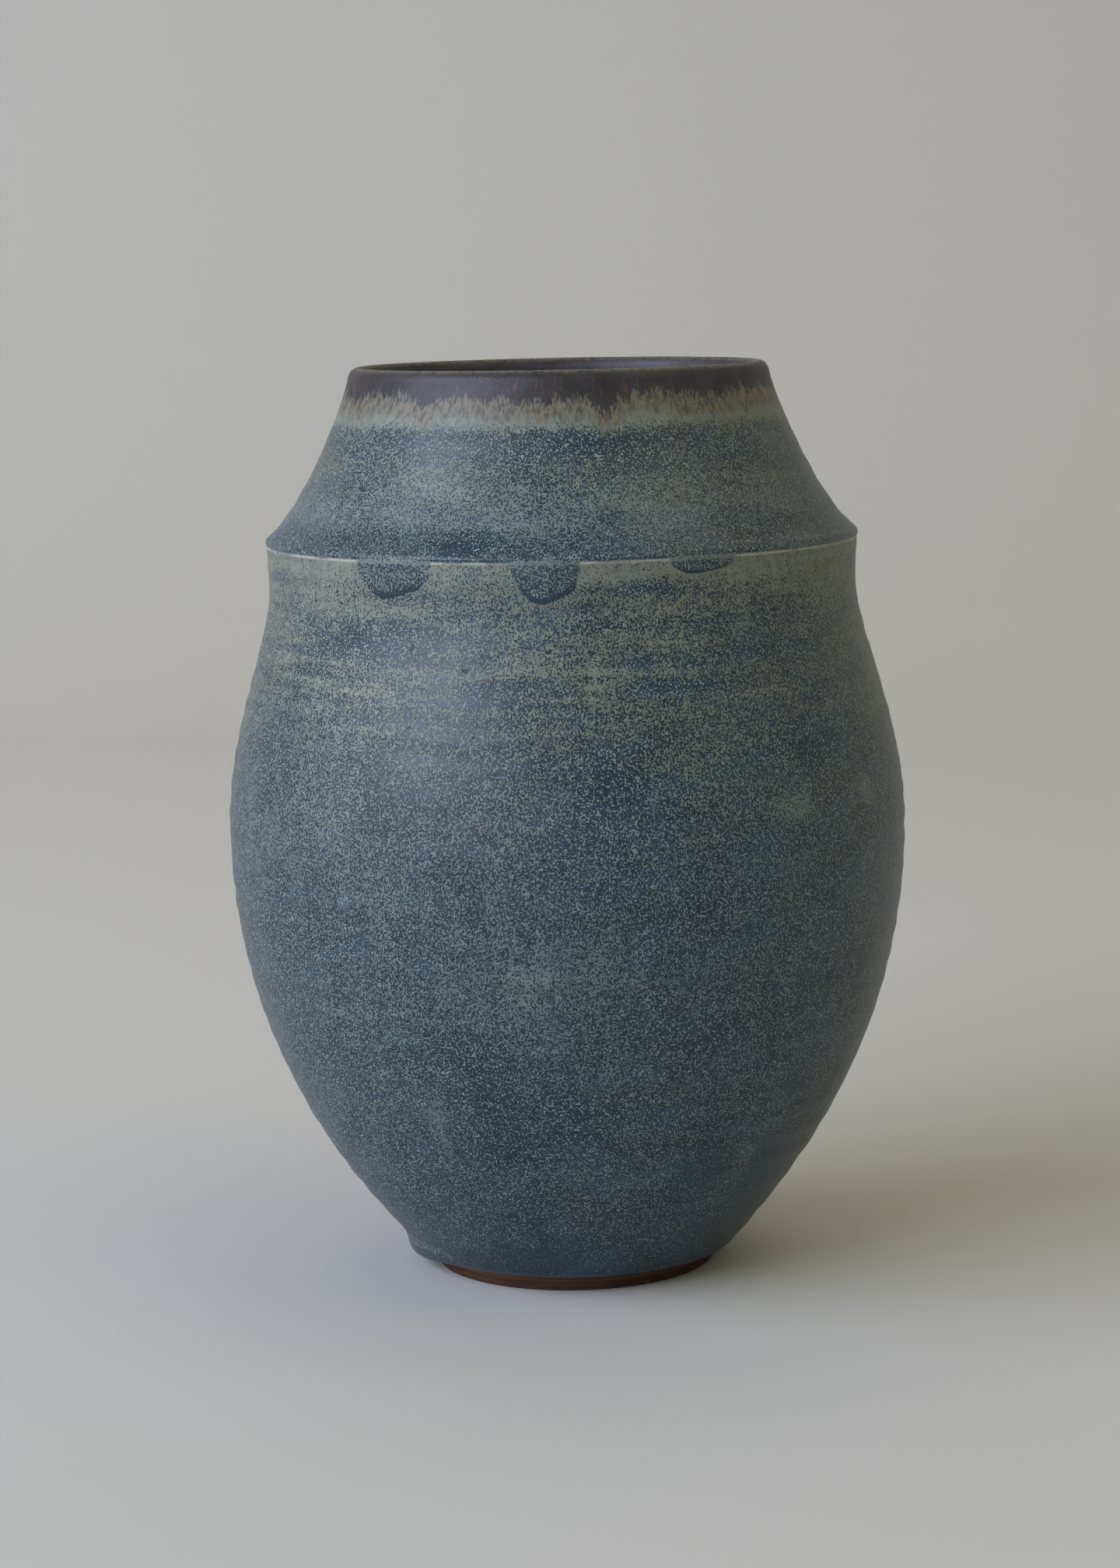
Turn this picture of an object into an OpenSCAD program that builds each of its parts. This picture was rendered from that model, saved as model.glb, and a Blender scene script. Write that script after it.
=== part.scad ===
// Wheel-thrown stoneware vase. A tall lower section carries a shorter shoulder section, and
// the two meet at a sharp ridge. Glaze coats lie on the clay as thin shells of their own, and
// the turned foot ring is left bare. The pot stands on z = 0 with its axis on Z, and the side
// with the three runs under the ridge faces -Y. All sizes are in millimetres.

/* [Foot] */
// Radius of the foot ring where it stands
foot_r = 43.5; // [32:0.5:55]
// Height of the bare foot ring
foot_h = 5; // [4:0.5:10]
// Width of the face that the ring stands on
ring_w = 7; // [4:0.5:12]
// How much wider the ring is at its top than at its standing face
ring_flare = 2; // [0.5:0.5:4]
// How much narrower the ring's hole is at its top than at its standing face
ring_in_flare = 1; // [0:0.5:2]
// Bevel turned on the ring's lower outer edge
ring_bevel = 0.6; // [0.2:0.1:1.5]

/* [Body] */
// How far the glazed body stands out past the foot at its lower edge
edge_out = 6.7; // [5:0.1:12]
// Height of the body's lower edge above the foot ring
edge_rise = 1.5; // [1:0.1:4]
// Outward lean of the wall as it leaves the foot, as radius gained over height
edge_lean = 0.79; // [0.4:0.01:1]
// How far the wall holds that lean
edge_pull = 20.5; // [10:0.5:40]
// Radius at the widest level of the belly
belly_r = 104.6; // [85:0.1:130]
// Height of the widest level
belly_h = 140; // [110:1:170]
// How far the wall stays near upright under the widest level
belly_pull_low = 76; // [30:1:90]
// How far the wall stays near upright above the widest level
belly_pull_high = 29; // [10:1:35]
// Radius at the waist under the ridge
waist_r = 90.1; // [75:0.1:110]
// Depth of the waist under the ridge
waist_drop = 13.4; // [8:0.1:20]
// How far the wall stays near upright at the waist
waist_pull = 15; // [5:0.5:20]

/* [Ridge and shoulder] */
// Radius of the ridge at its sharp lower edge
ridge_r = 90.6; // [75:0.1:110]
// Height of the ridge's sharp lower edge
ridge_h = 226.4; // [185:0.1:275]
// Height of the rounded band above the sharp edge
ridge_band = 2.2; // [1:0.1:4]
// How far the band draws in over its height
ridge_band_in = 0.2; // [0.1:0.1:1]
// Inward lean of the shoulder as it leaves the ridge, as radius lost over height
ridge_lean = 1.28; // [0.8:0.01:1.6]
// How far the shoulder holds that lean
ridge_pull = 15; // [8:0.5:22]
// Height from the ridge's sharp edge to the top of the lip
shoulder_h = 53.6; // [42:0.1:70]

/* [Lip] */
// Outer radius of the lip
lip_r = 64.6; // [50:0.1:80]
// Thickness of the lip, glaze and all
lip_w = 5.2; // [4.4:0.1:8]
// Height of the rounding outside the top of the lip
lip_round = 4; // [2:0.1:6]
// Distance of the top of the lip from its outer face
lip_top_in = 3.1; // [2:0.1:4]
// Inward lean of the wall at the lip
lip_lean = 0.16; // [0:0.01:0.5]
// How far the wall holds the lean under the lip
lip_pull = 5; // [3:0.5:12]

/* [Clay] */
// Thickness of the wall
wall = 6; // [4:0.1:9]
// Thickness of the clay floor
floor_t = 9; // [6:0.5:14]
// Radius of the flat part of the inside floor
floor_flat_r = 30; // [15:1:40]
// Height of the rounding between the inside floor and the wall
floor_round = 9; // [5:0.5:15]

/* [Glaze] */
// Thickness of the glaze outside
glaze_t = 1; // [0.5:0.1:1.6]
// Thickness of the glaze inside
liner_t = 0.7; // [0.4:0.1:1.5]
// Depth of the dark rim coat outside, from the top of the lip
rim_band = 12; // [8:0.5:25]
// Depth of the dark rim coat inside
rim_band_in = 9; // [6:0.5:25]
// Extra thickness of the glaze where it gathers at the foot
bead_t = 1.2; // [0.3:0.1:2]
// Height over which that extra thickness fades
bead_h = 9; // [4:0.5:20]
// Roundness of the glaze's lower edge
bead_r = 1.6; // [0.8:0.1:2.5]

/* [Runs of glaze] */
// Depth of the left, middle and right run under the ridge
run_drop = [11.9, 11.7, 4.5]; // [3:0.1:15]
// Half width of each of those runs
run_half_w = [13.6, 9.4, 13]; // [6:0.1:16]
// Thickness of each of those runs
run_t = [2.4, 2.2, 1.2]; // [0.8:0.1:3]
// Turn of each of those runs round the pot, from -Y towards +X
run_turn = [-32.4, -4, 26.5]; // [-180:0.1:180]
// Half width of the run at the foot
foot_run_half_w = 19; // [10:0.5:25]
// Thickness of the run at the foot
foot_run_t = 3; // [1.5:0.1:4]
// Turn of the run at the foot round the pot, from -Y towards +X
foot_run_turn = -75; // [-180:1:180]
// Clear height of that run above the floor
foot_run_clear = 5.6; // [5.2:0.1:8]

/* [Hidden] */
$fn = 300;

clay_colour = "#6a4938";
blue_glaze = "#4b6270";
shoulder_blue = "#5b7175";
iron_glaze = "#352d2d";
liner_brown = "#3a2b22";
run_blue = "#34495a";

// Steps in each stretch of curve
long_steps = 18;
short_steps = 6;
// Points closer than this to a cutting level are dropped
near = 0.3;
// Points of an offset line closer than this to the level of the joint are dropped
joint_clear = 1;
// Pull of a curve's handles that rounds a corner off like a quarter circle
round_pull = 0.55;
// Outward lean of the rounded band as it leaves the sharp edge
band_lean = 0.4;

ring_top_r = foot_r + ring_flare;
edge_z = foot_h + edge_rise;
top_z = ridge_h + shoulder_h;
floor_z = foot_h + floor_t + liner_t;
wall_all = glaze_t + wall + liner_t;

function unit(v) = v / norm(v);

function flip(p) = [for (i = [len(p) - 1:-1:0]) p[i]];

function tail(p) = [for (i = [1:len(p) - 1]) p[i]];

function join(a, b) = concat(a, tail(b));

// Cubic curve from a to d that leaves towards b and arrives from c
function curve(a, b, c, d, steps) = [
    for (i = [0:steps])
        let (t = i / steps, s = 1 - t)
            s * s * s * a + 3 * s * s * t * b + 3 * s * t * t * c + t * t * t * d
];

// Direction of a line of points at point i
function heading(p, i) = unit(p[min(i + 1, len(p) - 1)] - p[max(i - 1, 0)]);

// The line moved to its left, which is into the clay, by a depth for each point
function inset(p, depth) = [
    for (i = [0:len(p) - 1])
        let (h = heading(p, i))
            p[i] + depth[i] * [-h.y, h.x]
];

function same(value, p) = [for (q = p) value];

// Radius of a rising line at a height
function radius_at(p, z) = lookup(z, [for (q = p) [q.y, q.x]]);

// A rising line with a point of its own at height z
function with_level(p, z) = concat(
    [for (q = p) if (q.y < z - near) q],
    [[radius_at(p, z), z]],
    [for (q = p) if (q.y > z + near) q]
);

function index_at(p, z) = [for (i = [0:len(p) - 1]) if (abs(p[i].y - z) < near / 2) i][0];

// Lower section, outside: foot to belly, belly to waist, waist to ridge
edge = [foot_r + edge_out, edge_z];
belly = [belly_r, belly_h];
waist = [waist_r, ridge_h - waist_drop];
ridge = [ridge_r, ridge_h];
rise = [0, 1];
skin_low = join(
    curve(edge, edge + edge_pull * unit([edge_lean, 1]),
        belly - belly_pull_low * rise, belly, long_steps),
    join(
        curve(belly, belly + belly_pull_high * rise, waist - waist_pull * rise, waist, long_steps),
        curve(waist, waist + waist_drop / 2 * rise, ridge - waist_drop / 4 * rise, ridge, short_steps)
    )
);

// The glaze is thicker where it gathers over the foot, and the clay has a sharp corner inside
// the ridge
clay_corner = [ridge_r - glaze_t, ridge_h];
function coat_at(z) = glaze_t + bead_t * pow(max(0, 1 - (z - edge_z) / bead_h), 2);
clay_low_all = inset(skin_low, [for (q = skin_low) coat_at(q.y)]);
clay_low = concat(
    [for (q = clay_low_all) if (q.y < ridge_h - near) q],
    [clay_corner]
);

// Bevel of bare clay between the foot ring and the glaze, and the rolled edge of the glaze
bevel_dir = unit([ring_top_r, foot_h] - clay_low[0]);
roll_start = clay_low[0] + bead_t * bevel_dir;
roll = curve(roll_start, roll_start + bead_r * [-bevel_dir.y, bevel_dir.x],
    edge - bead_r * unit([edge_lean, 1]), edge, short_steps);

// Shoulder section: rounded band on the ridge, shoulder and lip, seen from outside
band_top = [ridge_r - ridge_band_in, ridge_h + ridge_band];
shoulder_dir = unit([-ridge_lean, 1]);
lip_dir = unit([-lip_lean, 1]);
lip_out = [lip_r, top_z - lip_round];
shoulder = curve(band_top, band_top + ridge_pull * shoulder_dir,
    lip_out - lip_pull * lip_dir, lip_out, long_steps);
band = curve(ridge, ridge + ridge_band / 2 * unit([band_lean, 1]),
    band_top - ridge_band / 2 * shoulder_dir, band_top, short_steps);
outer_up = with_level(join(band, shoulder), top_z - rim_band);

// The same wall seen from inside, thinning from the ridge to the lip
inner_depths = [for (i = [0:long_steps]) wall_all + (lip_w - wall_all) * i / long_steps];
inner_all = inset(shoulder, inner_depths);
lip_in = inner_all[long_steps];
joint_in_r = ridge_r - wall_all;
inner_up = with_level(
    concat([[joint_in_r, ridge_h]], [for (q = inner_all) if (q.y > ridge_h + joint_clear) q]),
    top_z - rim_band_in
);

// Top of the lip
lip_top = [lip_r - lip_top_in, top_z];
lip_in_h = top_z - lip_in.y;
lip = join(
    curve(lip_out, lip_out + round_pull * lip_round * lip_dir,
        lip_top + [round_pull * lip_top_in, 0], lip_top, short_steps),
    curve(lip_top, lip_top - [round_pull * (lip_top.x - lip_in.x), 0],
        lip_in + round_pull * lip_in_h * lip_dir, lip_in, short_steps)
);

// Whole glazed outline of the shoulder section: up outside, over the lip, down inside. The
// clay under it has a plain corner behind the rounded band.
skin_up = join(join(outer_up, lip), flip(inner_up));
last_up = len(skin_up) - 1;
rim_out_i = index_at(outer_up, top_z - rim_band);
rim_in_i = last_up - index_at(inner_up, top_z - rim_band_in);
depths_up = [for (i = [0:last_up]) i <= rim_in_i ? glaze_t : liner_t];
clay_up_all = inset(skin_up, depths_up);
clay_up = concat(
    [for (i = [0:last_up - 1]) i <= short_steps ? clay_corner : clay_up_all[i]],
    [[joint_in_r + liner_t, ridge_h]]
);

// Inside of the lower section, from the joint down to the middle of the floor
inner_low_all = inset(skin_low, same(wall_all, skin_low));
inner_wall = [
    for (q = inner_low_all) if (q.y > floor_z + floor_round && q.y < ridge_h - joint_clear) q
];
wall_foot = inner_wall[0];
floor_edge = [floor_flat_r, floor_z];
floor_curve = curve(wall_foot, wall_foot - round_pull * floor_round * heading(inner_wall, 0),
    floor_edge + [floor_round, 0], floor_edge, short_steps);
liner_low = concat([[joint_in_r, ridge_h]], join(flip(inner_wall), floor_curve), [[0, floor_z]]);
last_low = len(liner_low) - 1;
clay_in_all = inset(liner_low, same(liner_t, liner_low));
clay_in = concat(
    [[joint_in_r + liner_t, ridge_h]],
    [for (i = [1:last_low - 1]) clay_in_all[i]],
    [[0, floor_z - liner_t]]
);

// Outline of the whole glazed pot above the foot, filled in, to shape what lies against it
pot_outline = concat([[0, foot_h], [ring_top_r, foot_h]], roll, tail(skin_low), tail(outer_up),
    [[0, top_z - lip_round]]);

// Part of a glaze coat between two points of the shoulder section's outline. The clay under
// the rounded band is one corner, which is taken once.
function coat(from, to) = concat(
    [for (i = [from:to]) skin_up[i]],
    [for (i = [to:-1:max(from, short_steps)]) clay_up[i]]
);

module turned(outline) {
    rotate_extrude()
        polygon(outline);
}

// Radius of the ball whose cap, on a wall of radius wall_r, is thick at its middle and reaches
// half_w to each side
function ball_r(wall_r, half_w, thick) = 1 / (1 / wall_r + 2 * thick / (half_w * half_w));

// A bead of glaze that has run down the skin, kept between two levels: the cap of a ball that
// stands thick proud of the wall at the point at, where the wall rises in the direction up
module run(at, up, half_w, thick, turn, low, high) {
    ball = ball_r(at.x, half_w, thick);
    centre = at - (ball - thick) * [up.y, -up.x];
    difference() {
        intersection() {
            rotate([0, 0, turn])
                translate([0, -centre.x, centre.y])
                    sphere(r = ball);
            translate([0, 0, low])
                cylinder(h = high - low, r = belly_r + ridge_r);
        }
        turned(pot_outline);
    }
}

// A run under the ridge, hung so that its lowest point is run_drop under the sharp edge
module ridge_run(i) {
    half_h = sqrt(2 * run_t[i] * ball_r(ridge_r, run_half_w[i], run_t[i]));
    color(run_blue)
        run([ridge_r, ridge_h - run_drop[i] + half_h], rise, run_half_w[i], run_t[i], run_turn[i],
            ridge_h - 2 * run_drop[i], ridge_h + ridge_band / 2);
}

// Thrown clay: the closed floor and the wall up to the ridge
module lower_section() {
    color(clay_colour)
        turned(concat([[0, foot_h], [ring_top_r, foot_h]], clay_low, clay_in));
}

// Thrown clay: shoulder and lip, luted onto the lower section at the ridge
module upper_section() {
    color(clay_colour)
        turned([for (i = [short_steps:last_up]) clay_up[i]]);
}

// Bare turned ring that the pot stands on
module foot_ring() {
    color(clay_colour)
        turned([
            [foot_r - ring_w, 0],
            [foot_r - ring_bevel, 0],
            [foot_r, ring_bevel],
            [ring_top_r, foot_h],
            [foot_r - ring_w - ring_in_flare, foot_h]
        ]);
}

// Mottled blue coat from its rolled edge over the foot up to the ridge
module body_glaze() {
    color(blue_glaze)
        turned(concat(roll, tail(skin_low), flip(clay_low)));
}

// Mottled blue coat on the shoulder
module shoulder_glaze() {
    color(shoulder_blue)
        turned(coat(0, rim_out_i));
}

// Dark iron coat over the lip
module rim_glaze() {
    color(iron_glaze)
        turned(coat(rim_out_i, rim_in_i));
}

// Brown coat inside, from the rim coat down over the floor
module liner_glaze() {
    color(liner_brown)
        turned(concat(
            [for (i = [rim_in_i:last_up]) skin_up[i]],
            tail(liner_low),
            flip(clay_in),
            tail(flip([for (i = [rim_in_i:last_up]) clay_up[i]]))
        ));
}

// Glaze that has gathered into a fat run over the foot
module foot_run() {
    color(run_blue)
        run(edge, unit([edge_lean, 1]), foot_run_half_w, foot_run_t, foot_run_turn,
            foot_run_clear, belly_h);
}

lower_section();
upper_section();
foot_ring();
body_glaze();
shoulder_glaze();
rim_glaze();
liner_glaze();
foot_run();
ridge_run(0);  // ridge_run_left
ridge_run(1);  // ridge_run_middle
ridge_run(2);  // ridge_run_right
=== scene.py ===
import math

import bmesh
import bpy
import numpy as np
from mathutils import Matrix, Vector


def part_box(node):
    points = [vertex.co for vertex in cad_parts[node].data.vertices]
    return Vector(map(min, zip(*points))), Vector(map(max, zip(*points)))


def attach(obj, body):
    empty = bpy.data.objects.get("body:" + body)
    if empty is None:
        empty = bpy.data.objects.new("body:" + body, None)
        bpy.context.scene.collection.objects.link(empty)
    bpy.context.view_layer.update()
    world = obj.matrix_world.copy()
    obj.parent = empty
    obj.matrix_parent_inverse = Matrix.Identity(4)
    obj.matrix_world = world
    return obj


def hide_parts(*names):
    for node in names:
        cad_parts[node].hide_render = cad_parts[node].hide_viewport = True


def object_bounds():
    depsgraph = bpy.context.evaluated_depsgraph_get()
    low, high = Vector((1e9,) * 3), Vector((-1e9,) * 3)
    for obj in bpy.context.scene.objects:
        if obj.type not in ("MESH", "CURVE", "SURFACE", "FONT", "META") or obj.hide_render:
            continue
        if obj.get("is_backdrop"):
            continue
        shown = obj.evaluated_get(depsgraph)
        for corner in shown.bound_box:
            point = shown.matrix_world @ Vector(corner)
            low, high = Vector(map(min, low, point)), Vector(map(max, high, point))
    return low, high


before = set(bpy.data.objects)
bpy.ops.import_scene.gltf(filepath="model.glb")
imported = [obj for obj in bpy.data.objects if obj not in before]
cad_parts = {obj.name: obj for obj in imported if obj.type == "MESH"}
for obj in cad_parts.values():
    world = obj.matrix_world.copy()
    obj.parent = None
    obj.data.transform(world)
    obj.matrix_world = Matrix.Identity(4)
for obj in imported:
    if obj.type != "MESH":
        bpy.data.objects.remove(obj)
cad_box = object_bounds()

# ---------------------------------------------------------------------------------------------
# Where the pot stands: a pale floor that curves up into four plain walls, so that every side of
# the pot is seen against the same ground. The paper doesn't shade it from the lights, and the
# paper in front gives it no light back, like the dark side of a room.

pot_top = cad_box[1].z
floor_near = 0.5
floor_reach = 1.3
floor_bend = 1.3
bend_points = 24
wall_top = 2.6
room_squareness = 7
half_turn_steps = 64
back_start = 50          # degrees round from the right, where the back paper begins
paper_weld = 1e-5
paper_white = (0.575, 0.567, 0.545, 1)

paper = bpy.data.materials.new("pale_paper")
paper.use_nodes = True
paper_face = paper.node_tree.nodes["Principled BSDF"]
paper_face.inputs["Base Color"].default_value = paper_white
paper_face.inputs["Roughness"].default_value = 0.9
paper_face.inputs["Specular IOR Level"].default_value = 0.15


def round_square(a):
    """How much further out a square with soft corners reaches than a circle, at an angle."""
    sides = abs(math.cos(a)) ** room_squareness + abs(math.sin(a)) ** room_squareness
    return sides ** (-1 / room_squareness)


def paper_sheet(name, line, start, end, bounces):
    """The line of radius and height taken round the pot from one angle to another."""
    segments = half_turn_steps * (end - start) // 180
    angles = np.radians(np.linspace(start, end, segments + 1))
    rows = [[(r * round_square(a) * math.cos(a), r * round_square(a) * math.sin(a), z)
             for r, z in line] for a in angles]
    size = len(line)
    faces = [(k * size + i, (k + 1) * size + i, (k + 1) * size + i + 1, k * size + i + 1)
             for k in range(segments) for i in range(size - 1)]
    mesh = bpy.data.meshes.new(name)
    mesh.from_pydata([p for row in rows for p in row], [], faces)
    bm = bmesh.new()
    bm.from_mesh(mesh)
    bmesh.ops.remove_doubles(bm, verts=bm.verts, dist=paper_weld)
    bm.to_mesh(mesh)
    bm.free()
    mesh.shade_smooth()
    mesh.materials.append(paper)
    sheet = bpy.data.objects.new(name, mesh)
    bpy.context.scene.collection.objects.link(sheet)
    sheet.visible_shadow = False
    sheet.visible_diffuse = bounces
    sheet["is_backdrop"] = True


floor_line = [(0.0, 0.0), (floor_near, 0.0), (floor_reach, 0.0)]
wall_line = [(floor_reach + floor_bend * math.sin(a), floor_bend * (1 - math.cos(a)))
             for a in np.linspace(0, math.pi / 2, bend_points)]
wall_line.append((floor_reach + floor_bend, wall_top))
paper_sheet("paper_floor", floor_line, back_start, back_start + 360, bounces=True)
paper_sheet("paper_back", wall_line, back_start, back_start + 180, bounces=True)
paper_sheet("paper_front", wall_line, back_start - 180, back_start, bounces=False)

# The eye is a little above the pot's top and a metre and a bit in front of it, tipped down,
# and held very slightly out of level.
eye_distance = 1.1393
eye_height = 0.3138
eye_down = math.radians(8.18)
eye_left = math.radians(0.102)
eye_tilt = math.radians(-1.15)

eye = bpy.data.objects.new("eye", bpy.data.cameras.new("eye"))
bpy.context.scene.collection.objects.link(eye)
eye.data.lens = 85
eye.data.clip_start = 0.05
eye.data.clip_end = 20
eye.matrix_world = (
    Matrix.Translation((0, -eye_distance, eye_height))
    @ Matrix.Rotation(eye_left, 4, "Z")
    @ Matrix.Rotation(math.pi / 2 - eye_down, 4, "X")
    @ Matrix.Rotation(eye_tilt, 4, "Z")
)
bpy.context.scene.camera = eye
bpy.context.scene.view_settings.view_transform = "Standard"


def soft_light(name, turn, rise, distance, width, height, power, colour):
    """A soft panel turned from the front towards the right by turn and raised by rise degrees,
    facing the middle of the pot."""
    lamp = bpy.data.lights.new(name, "AREA")
    lamp.shape = "RECTANGLE"
    lamp.size = width
    lamp.size_y = height
    lamp.energy = power
    lamp.color = colour
    panel = bpy.data.objects.new(name, lamp)
    bpy.context.scene.collection.objects.link(panel)
    a, e = math.radians(turn), math.radians(rise)
    way = np.array((math.sin(a) * math.cos(e), -math.cos(a) * math.cos(e), math.sin(e)))
    place = distance * way + np.array((0, 0, pot_top / 2))
    facing = Matrix.Rotation(a, 4, "Z") @ Matrix.Rotation(math.pi / 2 - e, 4, "X")
    panel.matrix_world = Matrix.Translation(place.tolist()) @ facing
    panel.visible_camera = False


soft_light("window", turn=-62, rise=27, distance=3.0, width=3.9, height=1.95, power=126,
           colour=(0.735, 0.80, 1.0))
soft_light("front_wall", turn=20, rise=45, distance=4.0, width=5.0, height=4.0, power=30,
           colour=(0.90, 1.0, 0.80))
soft_light("side_wall", turn=75, rise=50, distance=3.5, width=3.0, height=3.0, power=22,
           colour=(1.0, 0.84, 0.48))
soft_light("ceiling", turn=180, rise=60, distance=3.0, width=4.0, height=3.0, power=27,
           colour=(1.0, 0.925, 0.77))

night = bpy.data.worlds.new("night")
night.use_nodes = True
night.node_tree.nodes["Background"].inputs["Color"].default_value = (0, 0, 0, 1)
bpy.context.scene.world = night

# ---------------------------------------------------------------------------------------------
# Thrown clay. Two sections of iron-bearing stoneware, thrown on the wheel and luted at the
# ridge. All that shows of them is the turned underside and the bevel over the foot ring.

clay_brown = (0.048, 0.025, 0.017, 1)
clay_toast = (0.092, 0.047, 0.029, 1)
clay_rust = (0.190, 0.086, 0.040, 1)
clay_sand = (0.200, 0.135, 0.090, 1)
sand_size = 0.0007
grog_size = 0.0016
blush_width = 0.012
blush_height = 0.006
clay_groove_pitch = 0.0011
wander_size = (0.02, 0.004)
groove_wander = 4.8
clay_relief = 0.0004
flash_fade = 0.001
glass_ior = 1.5


class Wire:
    """One output in a node tree. Sums on it add Math nodes to the tree."""

    def __init__(self, tree, plug=None):
        self.tree, self.plug = tree, plug

    def add(self, kind, settings=(), sockets=(), out=0):
        """A new node: its settings first, then what its sockets hold or are fed by."""
        node = self.tree.nodes.new(kind)
        for name, setting in dict(settings).items():
            if name == "stops":
                stops = node.color_ramp.elements
                for extra in setting[2:]:
                    stops.new(extra[0])
                for stop, (place, colour) in zip(stops, sorted(setting)):
                    stop.position = place
                    stop.color = colour
            else:
                setattr(node, name, setting)
        for name, given in dict(sockets).items():
            if isinstance(given, Wire):
                self.tree.links.new(given.plug, node.inputs[name])
            else:
                node.inputs[name].default_value = given
        return Wire(self.tree, node.outputs[out])

    def sum(self, operation, *terms):
        return self.add("ShaderNodeMath", {"operation": operation}, enumerate(terms))

    def __add__(self, other):
        return self.sum("ADD", self, other)

    def __sub__(self, other):
        return self.sum("SUBTRACT", self, other)

    def __rsub__(self, other):
        return self.sum("SUBTRACT", other, self)

    def __mul__(self, other):
        return self.sum("MULTIPLY", self, other)

    def __truediv__(self, other):
        return self.sum("DIVIDE", self, other)

    __radd__ = __add__
    __rmul__ = __mul__

    def fade(self, start, end, low=0.0, high=1.0):
        """Smooth step from low at start to high at end."""
        return self.add("ShaderNodeMapRange", {"interpolation_type": "SMOOTHSTEP"},
                        {"Value": self, "From Min": start, "From Max": end,
                         "To Min": low, "To Max": high})

    def tint(self, first, second):
        """Colour between first, at 0, and second, at 1."""
        return self.add("ShaderNodeMix", {"data_type": "RGBA"}, {0: self, 6: first, 7: second}, 2)

    def grain(self, place, across, up=None, detail=2.0, roughness=0.5):
        """Noise from 0 to 1 whose grains are across wide and up high."""
        stretch = self.add("ShaderNodeVectorMath", {"operation": "MULTIPLY"},
                           {0: place, 1: (1 / across, 1 / across, 1 / (up or across))})
        return self.add("ShaderNodeTexNoise", {},
                        {"Vector": stretch, "Scale": 1.0, "Detail": detail,
                         "Roughness": roughness})


class Coat(Wire):
    """A material with its place on the pot: where, height and turn from the front."""

    def __init__(self, name):
        self.material = bpy.data.materials.new(name)
        self.material.use_nodes = True
        super().__init__(self.material.node_tree)
        self.shader = self.tree.nodes["Principled BSDF"]
        self.where = self.add("ShaderNodeTexCoord", out=3)
        parts = self.add("ShaderNodeSeparateXYZ", {}, {0: self.where}).plug.node.outputs
        self.x, self.y, self.height = (Wire(self.tree, plug) for plug in parts)
        self.turn = self.sum("ARCTAN2", self.x, 0 - self.y)

    def speck(self, across, up=None, detail=2.0, roughness=0.5):
        """Noise on the pot itself."""
        return self.grain(self.where, across, up, detail, roughness)

    def even(self, value):
        """The same value everywhere."""
        return self.sum("ADD", value, 0)

    def finish(self, colour, roughness, relief, depth, specular=0.5):
        """Feed the shader. Relief runs from 0 to 1 over the given depth."""
        bump = self.add("ShaderNodeBump", {}, {"Height": relief, "Distance": depth,
                                               "Strength": 1.0})
        for name, wire in (("Base Color", colour), ("Roughness", roughness), ("Normal", bump)):
            self.tree.links.new(wire.plug, self.shader.inputs[name])
        self.shader.inputs["Specular IOR Level"].default_value = specular
        self.shader.inputs["IOR"].default_value = glass_ior
        return self.material


def fired_clay(name, flash_from):
    """Bare clay, flashed to rust above a height, where the thin edge of a glaze ends."""
    clay = Coat(name)
    sand = clay.speck(sand_size, detail=3.0)
    blush = clay.speck(blush_width, blush_height)
    grog = clay.speck(grog_size, detail=1.0).fade(0.68, 0.76)
    around = clay.sum("SQRT", clay.x * clay.x + clay.y * clay.y)
    wander = clay.speck(*wander_size) * groove_wander
    groove = clay.sum("SINE", (around + clay.height) / clay_groove_pitch * math.tau + wander)
    shade = blush.fade(0.35, 0.65) * 0.5 + sand * 0.3 + groove * 0.1 + 0.1
    flash = clay.height.fade(flash_from, flash_from + flash_fade) * 0.7
    colour = flash.tint(shade.tint(clay_brown, clay_toast), clay_rust)
    colour = (grog * 0.5).tint(colour, clay_sand)
    relief = groove * 0.25 + sand * 0.5 + grog * 0.25 + 0.25
    return clay.finish(colour, sand.fade(0.2, 0.8, 0.72, 0.92), relief, clay_relief,
                       specular=0.25)


# On these two the flash would start at the pot's top, so none of it shows
for node in ("lower_section", "upper_section"):
    clay_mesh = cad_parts[node].data
    clay_mesh.materials.clear()
    clay_mesh.materials.append(fired_clay(node + "_clay", flash_from=pot_top))

# ---------------------------------------------------------------------------------------------
# Foot ring. The pot was set upside down on the wheel when it was leather-hard and its foot was
# cut with a loop tool, which left fine rings in the bare clay.

turned_segments = 384
foot_groove_depth = 0.00012
foot_groove_pitch = 0.0009
flash_band = 0.0022
foot_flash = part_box("foot_ring")[1].z - flash_band
corner_bend = math.radians(38)   # a sharper bend than this parts an outline's stretches
sharp_bend = math.radians(36)    # and than this one shows as a crisp edge
same_point = 5e-5
row_weld = 2e-6
weld = 1e-6
hair = 1e-7
ring_drift_size = (0.07, 0.03)   # throwing rings wander, and come and go, over these distances
ring_fading_size = (0.12, 0.016)
ring_wander = 9
strip_margin = 0.01
hidden_share = 0.03              # room in the bake map for a hidden length, against a seen one


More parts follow.
